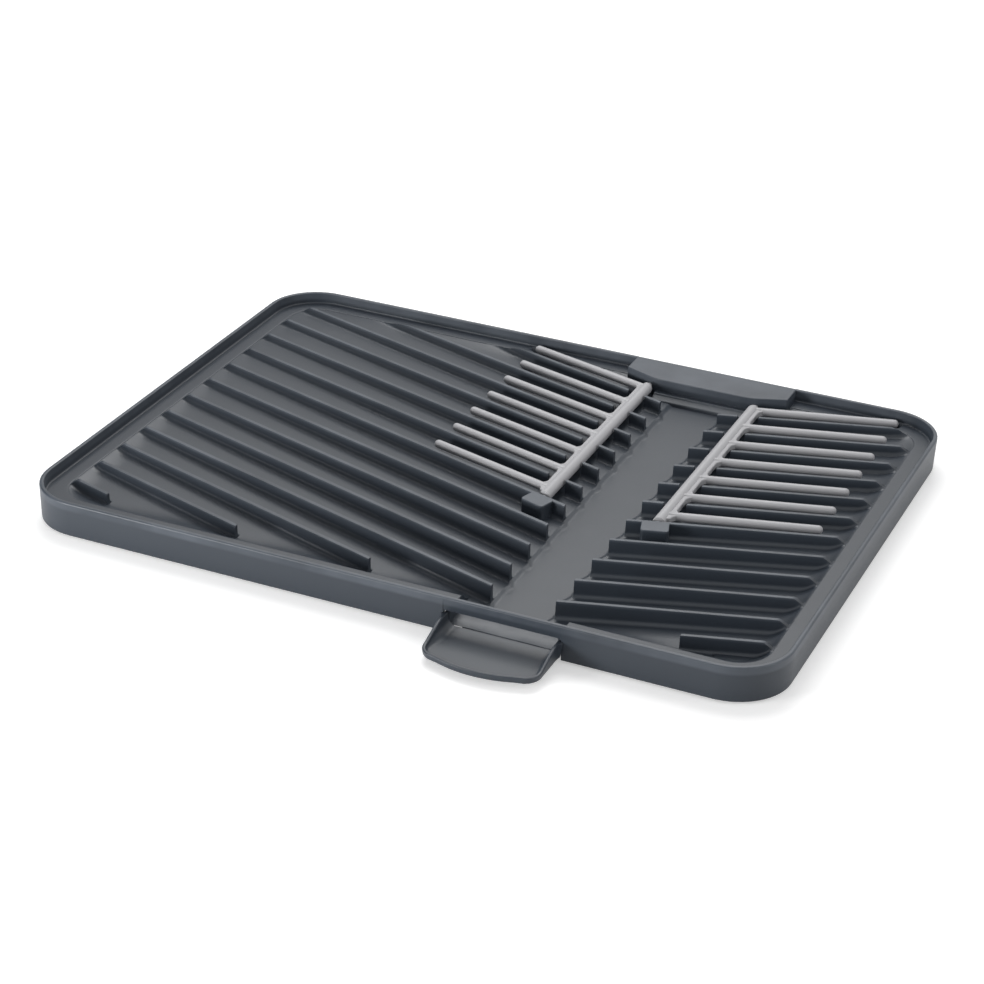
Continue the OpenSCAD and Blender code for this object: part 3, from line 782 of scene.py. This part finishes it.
# %% Moulded plastics and rubber
def moulded(name, colour, worn_and_lit_colour, roughness, cloud_scale, grain_scale, grain_depth, wear_and_light_mask):
    """A satin moulded finish. Clouds of noise shift the colour and gloss a little, a second colour shows by
    the given share where the mask puts it: rub wear, and on the slate painted light on the tops as well.
    A fine noise gives the mould's grain as bumps."""
    sheet = Sheet(name)
    clouds = sheet.noise(cloud_scale, 3.0, 0.55)
    grain = sheet.noise(grain_scale, 2.0, 0.6)
    speckle = sheet.noise(grain_scale * 0.35, 1.0, 0.5)
    shade = sheet.mix(clouds.between(0.3, 0.7) * 0.5, colour, tuple(0.9 * c for c in colour[:3]) + (1,))
    # Share of the second colour: rub wear, and on the slate also painted light that makes the tops lighter.
    rubbed_and_lit = wear_and_light_mask(sheet) * clouds.between(0.25, 0.75) * 0.6
    sheet.feed("Base Color", sheet.mix(rubbed_and_lit, shade, worn_and_lit_colour))
    sheet.feed("Roughness", roughness + clouds * 0.07 + speckle * 0.06 + rubbed_and_lit * 0.05)
    sheet.bump(grain * 0.7 + speckle * 0.3, 0.35, grain_depth)
    sheet.feed("IOR", 1.49)
    return sheet.material


def on_high_edges(sheet):
    """Wear and painted light on the rib tops and the rim: nothing below the ribs, all at their tops, so the
    tops come out lighter.
    """
    return sheet.height().between(rib_z - 1.5 * MM, rib_z)


def on_comb_tops(sheet):
    """A lighter colour on the upper side of the combs as they lie."""
    return sheet.height().between(shaft_z, shaft_z + 4 * MM)


def on_soles(sheet):
    """Wear where the rubber feet stand on the table."""
    return 1 - sheet.height().between(0, 0.6 * MM)


# The second slate colour is rub wear and painted light: it makes the rib tops and rim look lit from above.
# The second pale colour is lighter on the combs' upper side.
slate, worn_and_lit_slate = (0.030, 0.038, 0.050, 1), (0.120, 0.138, 0.165, 1)
pale, light_top_pale = (0.40, 0.40, 0.415, 1), (0.46, 0.46, 0.475, 1)
rubber, worn_rubber = (0.02, 0.02, 0.021, 1), (0.06, 0.058, 0.055, 1)
finishes = {
    "slate_plastic": moulded(
        "slate satin plastic", slate, worn_and_lit_slate, 0.36, 28, 2600, 0.05 * MM, on_high_edges),
    "pale_plastic": moulded(
        "pale satin plastic", pale, light_top_pale, 0.36, 35, 2600, 0.04 * MM, on_comb_tops),
    "foot_rubber": moulded(
        "black foot rubber", rubber, worn_rubber, 0.7, 160, 1800, 0.06 * MM, on_soles)}
for slot, material in finishes.items():
    for piece in pieces[slot]:
        piece.data.materials.append(material)
    print(slot, "on", len(pieces[slot]), "pieces")

# %% [markdown]
# ## Floor, light and camera
# The rack stands in a white tent. The floor is really a pale grey, but to the camera and in reflections
# it also glows a little, so its lit parts come out white while the shadow under the rack stays. The
# light is soft: a large panel overhead towards the back, a smaller one at the right, a low one in front
# for the outer walls, and a world whose left side shows darker in reflections, so the board shades off.

# %% Floor
floor_mesh = bpy.data.meshes.new("studio_floor")
floor_mesh.from_pydata([(-6, -6, 0), (6, -6, 0), (6, 6, 0), (-6, 6, 0)], [], [(0, 1, 2, 3)])
floor = bpy.data.objects.new("studio_floor", floor_mesh)
bpy.context.scene.collection.objects.link(floor)
paper = Sheet("white paper")
camera_ray = paper.node("ShaderNodeLightPath", {}, {}, "Is Camera Ray")
glossy_ray = paper.node("ShaderNodeLightPath", {}, {}, "Is Glossy Ray")
paper.feed("Base Color", (0.82, 0.82, 0.82, 1))
paper.feed("Roughness", 1.0)
paper.feed("Specular IOR Level", 0.0)
paper.feed("Emission Color", (1, 1, 1, 1))
glow = camera_ray * 0.42 + glossy_ray * 0.3
paper.feed("Emission Strength", glow)
floor_mesh.materials.append(paper.material)
print("floor ready")

# %% World and soft panels
world = bpy.data.worlds.new("white tent")
world.use_nodes = True
backdrop = world.node_tree.nodes["Background"]
backdrop.inputs["Color"].default_value = (1, 1, 1, 1)


def world_node(kind, settings, inputs, output):
    """One node of the world: settings first, then the values or links of its inputs."""
    made = world.node_tree.nodes.new(kind)
    for key, setting in settings.items():
        setattr(made, key, setting)
    for key, given in inputs.items():
        if isinstance(given, (int, float)):
            made.inputs[key].default_value = given
        else:
            world.node_tree.links.new(given, made.inputs[key])
    return made.outputs[output]


direction = world_node("ShaderNodeTexCoord", {}, {}, "Generated")
sideways = world_node("ShaderNodeSeparateXYZ", {}, {"Vector": direction}, "X")
wall = world_node("ShaderNodeMapRange", {"interpolation_type": "SMOOTHSTEP"}, {
    "Value": sideways, "From Min": -0.58, "From Max": -0.24, "To Min": 0.06, "To Max": 1.0}, "Result")
glossy = world_node("ShaderNodeLightPath", {}, {}, "Is Glossy Ray")
seen = world_node("ShaderNodeLightPath", {}, {}, "Is Camera Ray")
soft = world_node("ShaderNodeMapRange", {}, {"Value": glossy, "To Min": 0.36, "To Max": wall}, "Result")
level = world_node("ShaderNodeMapRange", {}, {"Value": seen, "To Min": soft, "To Max": 1.0}, "Result")
world.node_tree.links.new(level, backdrop.inputs["Strength"])
bpy.context.scene.world = world


def soft_panel(name, spot, size, power):
    """A square area lamp that faces the middle of the tray."""
    lamp = bpy.data.lights.new(name, "AREA")
    lamp.size, lamp.energy = size, power
    panel = bpy.data.objects.new(name, lamp)
    panel.location = spot
    panel.rotation_euler = (Vector((0, 0, 0)) - Vector(spot)).to_track_quat("-Z", "Y").to_euler()
    bpy.context.scene.collection.objects.link(panel)


soft_panel("overhead panel", (-0.35, 0.75, 1.25), 1.0, 15)
soft_panel("side panel", (1.3, -0.1, 0.6), 0.8, 4)
soft_panel("front panel", (-0.62, -0.85, 0.17), 0.32, 9)

# %% Camera
azimuth, elevation, roll = (math.radians(a) for a in (23.045, 27.497, 1.940))
away = Vector((math.sin(azimuth) * math.cos(elevation), -math.cos(azimuth) * math.cos(elevation),
               math.sin(elevation)))
flat = Vector((math.cos(azimuth), math.sin(azimuth), 0))
upright = away.cross(flat)
turned_level = flat * math.cos(roll) + upright * math.sin(roll)
turned_upright = upright * math.cos(roll) - flat * math.sin(roll)
lens = bpy.data.cameras.new("camera")
lens.lens, lens.sensor_width = 94.85, 36
camera = bpy.data.objects.new("camera", lens)
bpy.context.scene.collection.objects.link(camera)
aim, distance = Vector((12.958, -24.306, 20)) * MM, 1313.8 * MM
turn = Matrix((turned_level, turned_upright, away)).transposed().to_4x4()
camera.matrix_world = Matrix.Translation(aim + away * distance) @ turn
bpy.context.scene.camera = camera
bpy.context.scene.view_settings.view_transform = "Standard"
